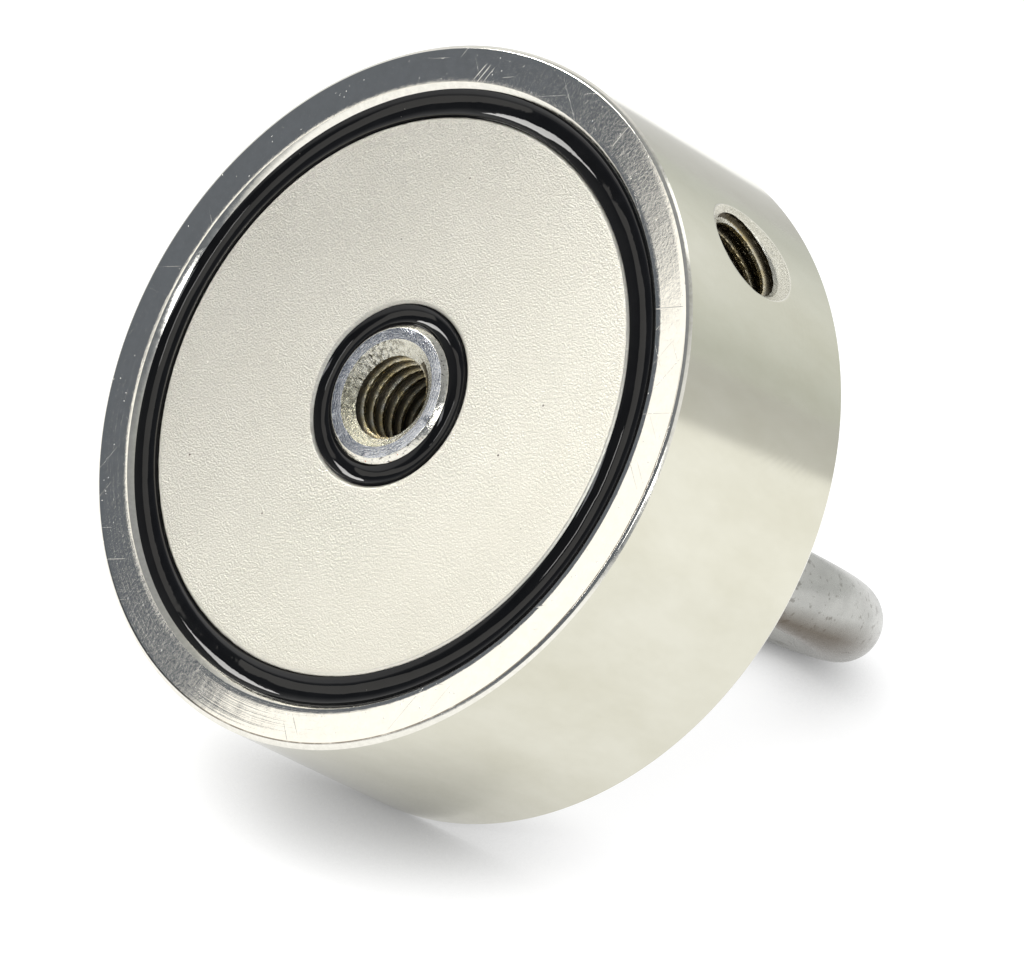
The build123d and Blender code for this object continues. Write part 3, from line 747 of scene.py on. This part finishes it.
# the window's edge, anticlockwise as seen from outside: bottom (deep) row, up, front row, back
cols = [(c % N_OUT) for c in range(-HALF, HALF + 1)]
edge_loop = [(len(grid[first_row + 2 * HALF]) and grid[first_row + 2 * HALF][c]) for c in cols[:-1]]
edge_loop += [grid[first_row + 2 * HALF - i][cols[-1]] for i in range(2 * HALF)]
edge_loop += [grid[first_row][c] for c in reversed(cols[1:])]
edge_loop += [grid[first_row + i][cols[0]] for i in range(2 * HALF)]
all_verts = np.concatenate(pot.verts)
so = np.array([cos(SIDE_ANGLE), sin(SIDE_ANGLE), 0])
st = np.array([-sin(SIDE_ANGLE), cos(SIDE_ANGLE), 0])
edge_uv = np.array([[all_verts[i] @ st, all_verts[i][2] - SIDE_Z] for i in edge_loop])
psi = np.arctan2(edge_uv[:, 1], edge_uv[:, 0])


def from_hole(u, v, h):
    return np.outer(h, so) + np.outer(u, st) + np.stack([0 * u, 0 * u, SIDE_Z + v], -1)


rho = np.full(len(psi), 4.96)
for _ in range(30):
    sag = R - np.sqrt(R * R - (rho * np.cos(psi)) ** 2)
    rho = 4.96 - sag * tan(radians(60))
lip = 0.02 * fractal(np.stack([np.cos(psi) * 9, np.sin(psi) * 9, psi * 0], -1), 3, 41)
mouth_uv = np.stack([(rho + lip) * np.cos(psi), (rho + lip) * np.sin(psi)], -1)
prev = np.array(edge_loop)
for i in range(1, 19):
    s = 1 - (1 - i / 18) ** 1.35
    uv = edge_uv * (1 - s) + mouth_uv * s
    h = np.sqrt(R * R - uv[:, 0] ** 2)
    if i == 18:
        h = h - 0.015
    cur = pot.add(from_hole(uv[:, 0], uv[:, 1], h))
    pot.band(prev, cur, SIDE if i < 18 else EDGE)
    prev = cur
# countersink of the side hole, from its mouth to the small step
mouth_h = np.sqrt(R * R - mouth_uv[:, 0] ** 2) - 0.02
step_h = R - (4.96 - 3.94) / tan(radians(60))
for i in range(1, 13):
    s = i / 12
    r = (rho - 0.03) * (1 - s) + 3.955 * s
    h = (mouth_h - 0.03) * (1 - s) + step_h * s
    rough = fractal(np.stack([np.cos(psi) * 12, np.sin(psi) * 12, r * 2], -1), 3, 51)
    part = smooth(0.1, 0.9, np.cos(psi - radians(-35)))
    wave = np.sin(psi * 53 + 2 * np.sin(psi * 4))
    h = h + (0.014 * rough + part * (0.06 * rough + 0.03 * wave)) * sin(pi * min(s, 0.93))
    cur = pot.add(from_hole(r * np.cos(psi), r * np.sin(psi), h))
    pot.band(prev, cur, CONE)
    prev = cur
# lead-in and thread
lead = lambda h: 3.2 + (h - (R - 1.6)) * (3.88 - 3.2) / (1.6 - 0.69)
hs = [step_h - 0.03, step_h - 0.07] + list(np.arange(step_h - 0.11, SIDE_TAP_END, -0.045)) + [SIDE_TAP_END]
for i, h in enumerate(hs):
    if i == 0:
        r = np.full(len(psi), 3.925)
    elif h <= SIDE_TAP_END:
        r = np.full(len(psi), 3.42)
    else:
        x = h - SIDE_TAP_END - PITCH * (psi - pi / 2) / (2 * pi)
        r = tooth(x, *INTERNAL) + 0.015 * fractal(np.stack([np.cos(psi) * 9, np.sin(psi) * 9, np.full_like(psi, h * 2.5)], -1), 2, 61)
        r = np.maximum(r, lead(h) + 0.012 * fractal(np.stack([np.cos(psi) * 14, np.sin(psi) * 14, np.full_like(psi, h * 4)], -1), 2, 71))
        r = np.minimum(r, np.maximum(4.03, lead(h)))
    cur = pot.add(from_hole(r * np.cos(psi), r * np.sin(psi), np.full(len(psi), h)))
    n = len(psi)
    for q in range(n):
        w = (q + 1) % n
        pot.face((prev[q], prev[w], cur[w], cur[q]), CONE if r[q] < lead(h) + 0.05 and h > R - 1.5 else TAPPED)
    prev = cur
for r, h in ((3.38, SIDE_TAP_END - 0.05), (3.38, R - 16.0)):
    cur = pot.add(from_hole(r * np.cos(psi), r * np.sin(psi), np.full(len(psi), h)))
    pot.band(prev, cur, TAPPED)
    prev = cur
tip = from_hole(np.zeros(1), np.zeros(1), np.array([R - 16.0 - 3.38 / tan(radians(59))]))[0]
pot.cap(prev, tip, TAPPED)


def outward(build, obj):
    """Makes all faces look out of the solid."""
    import bmesh

    bm = bmesh.new()
    bm.from_mesh(obj.data)
    bmesh.ops.remove_doubles(bm, verts=bm.verts, dist=1e-9)
    bmesh.ops.recalc_face_normals(bm, faces=bm.faces)
    open_edges = [e for e in bm.edges if len(e.link_faces) != 2]
    print(obj.name, "faces", len(bm.faces), "open or odd edges", len(open_edges), "volume cm3", round(bm.calc_volume(signed=True) * 1e6, 3))
    bm.to_mesh(obj.data)
    bm.free()
    obj.data.set_sharp_from_angle(angle=radians(obj.get("sharp", 22.0)))
    obj.data.update()


pot_obj = pot.object("pot_turned", "pot", POT_MATS)
outward(pot, pot_obj)
mesh = pot_obj.data
co = np.empty(len(mesh.vertices) * 3)
mesh.vertices.foreach_get("co", co)
co = co.reshape(-1, 3) * 1000
on_edge = (np.abs(np.hypot(co[:, 0], co[:, 1]) - 4.6) < 0.07) & ((np.abs(co[:, 2]) < 1e-3) | (np.abs(co[:, 2] + T) < 1e-3))
ends = np.empty(len(mesh.edges) * 2, dtype=np.int32)
mesh.edges.foreach_get("vertices", ends)
ends = ends.reshape(-1, 2)
sharp = np.empty(len(mesh.edges), dtype=bool)
mesh.attributes["sharp_edge"].data.foreach_get("value", sharp)
sharp |= on_edge[ends[:, 0]] & on_edge[ends[:, 1]]
mesh.attributes["sharp_edge"].data.foreach_set("value", sharp)
mesh.update()
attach(pot_obj, "pot")
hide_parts("pot_body")


# ---------------------------------------------------------------- magnets
def magnet(name, node, sign):
    b = Build()
    n = 720
    zf = 0.0 if sign > 0 else -T
    a, c, top, bottom = 7.75, 23.85, -0.3, -5.8
    section = soften([(a, bottom), (a, top - 0.26), (a + 0.27, top), (c - 0.24, top), (c, top - 0.25), (c, bottom)], 0.09, 3)
    out = []
    for p, q in zip(section, section[1:]):
        out.append(p)
        if q[0] - p[0] > 10:
            m = 34
            out += [(p[0] + (q[0] - p[0]) * i / m, p[1]) for i in range(1, m)]
    out.append(section[-1])
    t = np.arange(n) * 2 * pi / n
    prev = first = None
    for r, z in out:
        dr, dz = 0 * t, 0 * t
        if z > bottom + 0.5:
            f = fractal(np.stack([np.cos(t) * r * 1.2, np.sin(t) * r * 1.2, np.full_like(t, z * 2)], -1), 3, 81)
            near = max(0.0, 1 - min(abs(r - a), abs(c - r)) / 0.6)
            side = smooth(0.1, 0.9, np.cos(t - radians(175))) if abs(r - a) < 1 else smooth(0.3, 0.9, np.cos(t - radians(-100)))
            dr = f * (0.012 + 0.03 * side) * near
            wear = noise3(np.stack([np.cos(t) * 3, np.sin(t) * 3, np.full_like(t, r)], -1), 83)
            dz = -np.abs(f) * (0.012 + 0.035 * side) * near - 0.008 * (wear + 1)
        rr = r + dr
        cur = b.add(np.stack([rr * np.cos(t), rr * np.sin(t), zf + sign * (z + dz)], -1))
        if prev is not None:
            b.band(prev, cur, 0)
        else:
            first = cur
        prev = cur
    b.band(prev, first, 0)
    obj = b.object(name, "pot", [mat_magnet])
    obj["sharp"] = 50.0
    outward(b, obj)
    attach(obj, "pot")
    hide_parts(node)
    return obj


magnet("front_magnet_ring", "front_magnet", 1)
magnet("rear_magnet_ring", "rear_magnet", -1)


# ---------------------------------------------------------------- potting resin
def resin(name, node, sign, steel, mag, seed):
    """A ring with a dished top that creeps up both walls; its surface wanders a little round the ring."""
    b = Build()
    outer = steel > mag
    n = 1080 if outer else 480
    zf = 0.0 if sign > 0 else -T
    t = np.arange(n) * 2 * pi / n
    width = abs(steel - mag)
    m = 30
    cs, ss = np.cos(t), np.sin(t)
    slow = noise3(np.stack([cs * 1.6, ss * 1.6, t * 0 + seed], -1), seed)
    mid = fractal(np.stack([cs * (5.0 if outer else 3.0), ss * (5.0 if outer else 3.0), t * 0 + seed], -1), 2, seed + 1)
    quick = noise3(np.stack([cs * (11 if outer else 5), ss * (11 if outer else 5), t * 0 + seed], -1), seed + 2)
    prev = first = None
    for i in range(m + 1):
        s = i / m  # 0 at the steel wall, 1 at the magnet
        s = 0.5 - 0.5 * cos(pi * s) if i not in (0, m) else s
        r = steel + (mag - steel) * s
        # menisci: steep creep near each wall, a nearly flat bottom wandering between them
        creep_w = 0.17 * np.exp(-s * width / (0.20 + 0.03 * slow))
        creep_m = (0.13 + 0.02 * mid) * np.exp(-(1 - s) * width / (0.16 + 0.02 * mid))
        floor = -0.92 + 0.035 * slow + 0.05 * (s - 0.5) + (0.34 if outer else 0.28) * (2 * s - 1) ** 2
        lump = (0.022 * mid * sin(pi * s) + 0.010 * quick * sin(pi * s) ** 2 - 0.0 * sin(pi * s))
        z = floor + creep_w + creep_m + lump
        cur = b.add(np.stack([r * cs, r * ss, zf + sign * z], -1))
        if prev is not None:
            b.band(prev, cur, 0)
        else:
            first = cur
        prev = cur
    under_m = b.add(np.stack([mag * cs, mag * ss, np.full(n, zf - sign * POCKET)], -1))
    under_s = b.add(np.stack([steel * cs, steel * ss, np.full(n, zf - sign * POCKET)], -1))
    b.band(prev, under_m, 0)
    b.band(under_m, under_s, 0)
    b.band(under_s, first, 0)
    obj = b.object(name, "pot", [mat_resin])
    obj["sharp"] = 60.0
    outward(b, obj)
    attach(obj, "pot")
    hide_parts(node)
    return obj


resin("front_outer_potting", "front_outer_resin", 1, WALL, 23.85, 3)
resin("front_inner_potting", "front_inner_resin", 1, BOSS, 7.75, 13)
resin("rear_outer_potting", "rear_outer_resin", -1, WALL, 23.85, 23)
resin("rear_inner_potting", "rear_inner_resin", -1, BOSS, 7.75, 33)


# ---------------------------------------------------------------- eyebolt
# Bolt axes: p across the eye's plane, q in its plane, h away from the seat.
EYE_Q = ACROSS * cos(EYE_TURN) + UP * sin(EYE_TURN)
EYE_P = UP * cos(EYE_TURN) - ACROSS * sin(EYE_TURN)
SEAT_AT = FACE + INWARD * SEAT * 0.001
BOLT = Matrix((
    (EYE_P.x, EYE_Q.x, INWARD.x, SEAT_AT.x),
    (EYE_P.y, EYE_Q.y, INWARD.y, SEAT_AT.y),
    (EYE_P.z, EYE_Q.z, INWARD.z, SEAT_AT.z),
    (0, 0, 0, 1),
))


def smin(a, b, k):
    h = np.clip(0.5 + 0.5 * (b - a) / k, 0, 1)
    return b * (1 - h) + a * h - k * h * (1 - h)


def forged(p):
    """Distance to the eye, neck and collar, forged in one."""
    x, y, z = p[..., 0], p[..., 1], p[..., 2]
    eye = np.hypot(np.hypot(y, z - EYE_H) - EYE_R, x) - EYE_SECTION
    r = np.hypot(x, y)
    collar_r = 10.0
    e = 0.9
    dx, dz = r - (collar_r - e), np.abs(z - 2.6) - (2.6 - e)
    collar = np.minimum(np.maximum(dx, dz), 0) + np.hypot(np.maximum(dx, 0), np.maximum(dz, 0)) - e
    nr = 4.5 - 0.02 * z
    nz = np.abs(z - 4.2) - 4.0
    neck = np.minimum(np.maximum(r - nr, nz), 0) + np.hypot(np.maximum(r - nr, 0), np.maximum(nz, 0))
    body = smin(collar, neck, 1.6)
    both = smin(body, eye, 2.2)
    # the blend doesn't fill the eye's opening or drop below the seat
    opening = 11.0 - np.hypot(y, z - EYE_H)
    both = np.maximum(both, np.minimum(opening, eye * 0 + 1e3))
    return np.maximum(both, 0.15 - z)


def surface_net(fn, low, high, step):
    """Quad mesh of the surface where fn is zero."""
    n = [int(ceil((b - a) / step)) + 1 for a, b in zip(low, high)]
    axes = [a + np.arange(k) * step for a, k in zip(low, n)]
    gx, gy, gz = np.meshgrid(*axes, indexing="ij")
    v = fn(np.stack([gx, gy, gz], -1))
    inside = v < 0
    c = [inside[i:n[0] - 1 + i, j:n[1] - 1 + j, k:n[2] - 1 + k] for i in (0, 1) for j in (0, 1) for k in (0, 1)]
    s = sum(x.astype(np.int8) for x in c)
    active = (s > 0) & (s < 8)
    index = -np.ones(active.shape, dtype=np.int64)
    cells = np.argwhere(active)
    index[active] = np.arange(len(cells))
    pts = np.array(low) + (cells + 0.5) * step
    for _ in range(6):
        d = fn(pts)
        g = np.stack([(fn(pts + e) - fn(pts - e)) / 0.02 for e in np.eye(3) * 0.01], -1)
        g2 = np.maximum((g * g).sum(-1), 0.25)
        move = np.clip(d / g2, -step, step)[:, None] * g
        pts = pts - move
    faces = []
    for ax in range(3):
        o = [(1, 2), (2, 0), (0, 1)][ax]
        sl0 = [slice(1, n[i] - 1) for i in range(3)]
        a0, a1 = list(sl0), list(sl0)
        a0[ax] = slice(0, n[ax] - 1)
        a1[ax] = slice(1, n[ax])
        f0, f1 = inside[tuple(a0)], inside[tuple(a1)]
        cross = np.argwhere(f0 != f1)
        sign = f0[tuple(cross.T)]
        cross[:, o[0]] += 1
        cross[:, o[1]] += 1
        du, dv = np.zeros(3, int), np.zeros(3, int)
        du[o[0]] = 1
        dv[o[1]] = 1
        q = [index[tuple((cross - du - dv).T)], index[tuple((cross - dv).T)], index[tuple(cross.T)], index[tuple((cross - du).T)]]
        q = np.stack(q, -1)
        q[~sign] = q[~sign][:, ::-1]
        faces.append(q)
    return pts, np.concatenate(faces)


pts, quads = surface_net(forged, (-10.6, -18.6, -0.4), (10.6, 18.6, 36.6), 0.25)
head = Build()
head.add(pts)
head.faces = [tuple(q) for q in quads.tolist()]
head.mats = [0] * len(head.faces)
eye_obj = head.object("eyebolt_forged", "bolt", [mat_eye, mat_shank], matrix=BOLT)
eye_obj["sharp"] = 180.0
outward(head, eye_obj)

# shank: a closed solid from inside the collar to the tip
shank = Build()
n = 240
t = np.arange(n) * 2 * pi / n
prev = None
hs = [0.6, 0.1, -0.02, -1.9, -2.0] + list(np.arange(-2.05, -12.99, -0.045)) + [-13.0]
for h in hs:
    if h >= -1.95:
        r = np.full(n, 3.1)
    else:
        depth = SEAT - (-h) * 1.0
        depth = SEAT + h
        # angle in the pot's own axes of this bolt angle
        local = pi / 2 + EYE_TURN - t
        x = depth - TIP + PITCH * local / (2 * pi)
        r = tooth(x, *EXTERNAL)
        r = np.minimum(r, 3.1 + (-h - 2.0) / 0.6 * 0.8)
        r = np.minimum(r, 3.0 + (13.0 + h) / 1.0 * 1.0)
        r = r + 0.012 * fractal(np.stack([np.cos(t) * 8, np.sin(t) * 8, np.full_like(t, h * 2.5)], -1), 2, 91)
        r = np.minimum(r, 3.915)
    cur = shank.add(np.stack([r * np.cos(t), r * np.sin(t), np.full(n, h)], -1))
    if prev is not None:
        shank.band(prev, cur, 1)
    else:
        shank.cap(cur, (0, 0, h), 1, True)
    prev = cur
shank.cap(prev, (0, 0, -12.9), 1)
shank_obj = shank.object("shank_tmp", "bolt", [mat_eye, mat_shank], matrix=BOLT)
outward(shank, shank_obj)
mod = eye_obj.modifiers.new("join", "BOOLEAN")
mod.operation = "UNION"
mod.solver = "MANIFOLD"
mod.object = shank_obj
bpy.context.view_layer.update()
deps = bpy.context.evaluated_depsgraph_get()
joined = bpy.data.meshes.new_from_object(eye_obj.evaluated_get(deps))
eye_obj.modifiers.clear()
eye_obj.data = joined
joined.name = "eyebolt_forged"
bpy.data.objects.remove(shank_obj)
eye_obj.data.polygons.foreach_set("use_smooth", np.ones(len(eye_obj.data.polygons), dtype=bool))
eye_obj.data.set_sharp_from_angle(angle=radians(50))
print("eyebolt joined", len(joined.polygons))
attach(eye_obj, "bolt")
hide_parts("eyebolt")

# ---------------------------------------------------------------- CAD nodes that stay
for node, mat in (("spring_washer", mat_washer), ("front_adhesive", mat_bond), ("rear_adhesive", mat_bond)):
    o = frame["nodes"][node]
    if not o.material_slots:
        o.data.materials.append(mat)
    for s in o.material_slots:
        s.material = mat

# ---------------------------------------------------------------- floor, light and camera
floor_mesh = bpy.data.meshes.new("floor")
floor_mesh.from_pydata([(-3, -3, 0), (3, -3, 0), (3, 3, 0), (-3, 3, 0)], [], [(0, 1, 2, 3)])
floor = bpy.data.objects.new("floor", floor_mesh)
bpy.context.scene.collection.objects.link(floor)
mat_floor, nt, b = material("floor_glow")
k = Nodes(nt)
paper = k.noise(k.mm, 0.02, 2.0)
k.link(k.mix(paper, (0.21, 0.21, 0.21), (0.23, 0.23, 0.23)), b.inputs["Base Color"])
b.inputs["Roughness"].default_value = 0.9
b.inputs["Specular IOR Level"].default_value = 0.1
b.inputs["Emission Color"].default_value = (1, 1, 1, 1)
# painted light: the floor glows, evenly within about 0.25 m of the pot and dimmer beyond
glow = k.ramp(k.math("DIVIDE", k.radius(), 1500.0), [(0.0, 1.03), (0.165, 1.03), (0.20, 0.55), (0.40, 0.53), (0.8, 0.53)])
# painted shadows: ambient occlusion darkens the glow near the pot and, more tightly, where it touches the floor
ao = nt.nodes.new("ShaderNodeAmbientOcclusion")
ao.samples = 8
ao.inputs["Distance"].default_value = 0.045
near = k.span(ao.outputs["AO"], 0.0, 0.95, 0.75, 1.0)
touch = nt.nodes.new("ShaderNodeAmbientOcclusion")
touch.samples = 6
touch.inputs["Distance"].default_value = 0.010
near = k.math("MULTIPLY", near, k.span(touch.outputs["AO"], 0.0, 0.75, 0.20, 1.0))
k.link(k.math("MULTIPLY", glow, near), b.inputs["Emission Strength"])
floor_mesh.materials.append(mat_floor)


def area(name, direction, distance, size, radiance, colour=(1, 1, 1), target=None):
    """A soft square light of a given radiance, looking at the object."""
    target = Vector((0, 0, 0.03)) if target is None else Vector(target)
    az, el = direction
    d = Vector((cos(radians(az)) * cos(radians(el)), sin(radians(az)) * cos(radians(el)), sin(radians(el))))
    light = bpy.data.lights.new(name, "AREA")
    light.shape = "RECTANGLE"
    light.size, light.size_y = size
    light.energy = radiance * size[0] * size[1] * pi
    light.color = colour
    o = bpy.data.objects.new(name, light)
    bpy.context.scene.collection.objects.link(o)
    o.location = target + d * distance
    o.rotation_euler = d.to_track_quat("Z", "Y").to_euler()
    return o


def card(name, direction, distance, size, radiance, colour=(1, 1, 1), roll=0.0, target=None):
    """A plain card that only shows in reflections."""
    target = Vector((0, 0, 0.03)) if target is None else Vector(target)
    az, el = direction
    d = Vector((cos(radians(az)) * cos(radians(el)), sin(radians(az)) * cos(radians(el)), sin(radians(el))))
    mesh = bpy.data.meshes.new(name)
    w, h = size[0] / 2, size[1] / 2
    mesh.from_pydata([(-w, -h, 0), (w, -h, 0), (w, h, 0), (-w, h, 0)], [], [(0, 1, 2, 3)])
    o = bpy.data.objects.new(name, mesh)
    bpy.context.scene.collection.objects.link(o)
    o.matrix_world = Matrix.Translation(target + d * distance) @ d.to_track_quat("Z", "Y").to_matrix().to_4x4() @ Matrix.Rotation(radians(roll), 4, "Z")
    m = bpy.data.materials.new(name)
    m.use_nodes = True
    m.node_tree.nodes.clear()
    e = m.node_tree.nodes.new("ShaderNodeEmission")
    e.inputs[0].default_value = (*colour, 1)
    e.inputs[1].default_value = radiance
    out = m.node_tree.nodes.new("ShaderNodeOutputMaterial")
    m.node_tree.links.new(e.outputs[0], out.inputs[0])
    mesh.materials.append(m)
    o.visible_camera = False
    o.visible_shadow = False
    o.visible_diffuse = False
    return o


# main box above and to the left, a smaller one right of the camera, and a white panel whose edge shows in the rim
area("main_box", (-160, 48), 0.70, (0.24, 0.15), 14.5, (1.0, 0.985, 0.955))
area("strip_box", (-100, 36), 0.70, (0.035, 0.22), 11.0, (1.0, 0.985, 0.96))
area("camera_box", (-26, 22), 0.80, (0.42, 0.16), 6.5, (0.97, 0.98, 1.0))
area("back_box", (70, 50), 0.90, (0.36, 0.30), 1.3, (1.0, 1.0, 1.0))
EDGE_AT = 0.0112
EDGE_ROLL = 8.0
toward = Vector((cos(radians(-140)) * cos(radians(27)), sin(radians(-140)) * cos(radians(27)), sin(radians(27))))
sideways = Vector((0.6428, -0.7660, 0))
PANEL = 0.15
upward = toward.cross(sideways)
outward = sideways * cos(radians(EDGE_ROLL)) + upward * sin(radians(EDGE_ROLL))
card("white_panel", (-140, 27), 0.30, (PANEL, 0.30), 1.42, (1.0, 0.975, 0.925), roll=EDGE_ROLL, target=FACE + sideways * EDGE_AT + outward * (PANEL / 2))

world = bpy.data.worlds.new("studio")
bpy.context.scene.world = world
world.use_nodes = True
nt = world.node_tree
nt.nodes.clear()
tex = nt.nodes.new("ShaderNodeTexCoord")
sep = nt.nodes.new("ShaderNodeSeparateXYZ")
nt.links.new(tex.outputs["Generated"], sep.inputs[0])


def world_ramp(value, low, high, stops):
    span = nt.nodes.new("ShaderNodeMapRange")
    nt.links.new(value, span.inputs[0])
    span.inputs[1].default_value, span.inputs[2].default_value = low, high
    r = nt.nodes.new("ShaderNodeValToRGB")
    els = r.color_ramp.elements
    while len(els) < len(stops):
        els.new(0.5)
    for e, (pos, col) in zip(els, stops):
        e.position = (pos - low) / (high - low)
        e.color = (*col, 1)
    nt.links.new(span.outputs[0], r.inputs[0])
    return r.outputs[0]


back = world_ramp(sep.outputs[2], -0.2, 1.0, [(-0.2, (0.72, 0.73, 0.72)), (0.02, (0.70, 0.72, 0.70)), (0.07, (0.84, 0.86, 0.84)), (0.10, (0.98, 0.99, 0.98)), (0.6, (0.95, 0.95, 0.95)), (0.8, (0.45, 0.46, 0.45)), (1.0, (0.35, 0.36, 0.38))])
front = world_ramp(sep.outputs[2], -0.2, 1.0, [(-0.2, (0.6, 0.6, 0.6)), (0.0, (0.26, 0.28, 0.31)), (0.15, (0.145, 0.16, 0.188)), (0.7, (0.17, 0.185, 0.21)), (1.0, (0.35, 0.36, 0.38))])
facing = world_ramp(sep.outputs[1], -1.0, 1.0, [(-1.0, (0, 0, 0)), (-0.35, (0, 0, 0)), (0.05, (1, 1, 1)), (1.0, (1, 1, 1))])
mixed = nt.nodes.new("ShaderNodeMix")
mixed.data_type = "RGBA"
nt.links.new(facing, mixed.inputs[0])
nt.links.new(front, mixed.inputs[6])
nt.links.new(back, mixed.inputs[7])
bg = nt.nodes.new("ShaderNodeBackground")
nt.links.new(mixed.outputs[2], bg.inputs[0])
bg.inputs[1].default_value = 1.0
out = nt.nodes.new("ShaderNodeOutputWorld")
nt.links.new(bg.outputs[0], out.inputs[0])

scene = bpy.context.scene
scene.view_settings.view_transform = "Standard"
scene.view_settings.look = "None"

# Camera: a long lens, close to level across; elevation and azimuth from the pot's outline.
camera = bpy.data.cameras.new("camera")
camera.lens = 8950.0 / 1024 * 36
camera.sensor_width = 36
camera.clip_start = 0.05
camera.clip_end = 20
cam = bpy.data.objects.new("camera", camera)
scene.collection.objects.link(cam)
lean = asin(-INWARD.z)
elev = asin(sin(lean) / hypot(0.3136, 0.742)) - atan2(0.3136, 0.742)
azim = asin(0.592 / cos(lean))
right = Vector((cos(azim), sin(azim), 0))
level = Vector((-sin(azim), cos(azim), 0))
look = level * cos(elev) - Vector((0, 0, 1)) * sin(elev)
down = -(level * sin(elev) + Vector((0, 0, 1)) * cos(elev))
D = 0.7218
cam.location = FACE - (right * (-0.01407) + down * (-0.00981) + look) * D
cam.matrix_world = Matrix((
    (right.x, -down.x, -look.x, cam.location.x),
    (right.y, -down.y, -look.y, cam.location.y),
    (right.z, -down.z, -look.z, cam.location.z),
    (0, 0, 0, 1),
))
scene.camera = cam
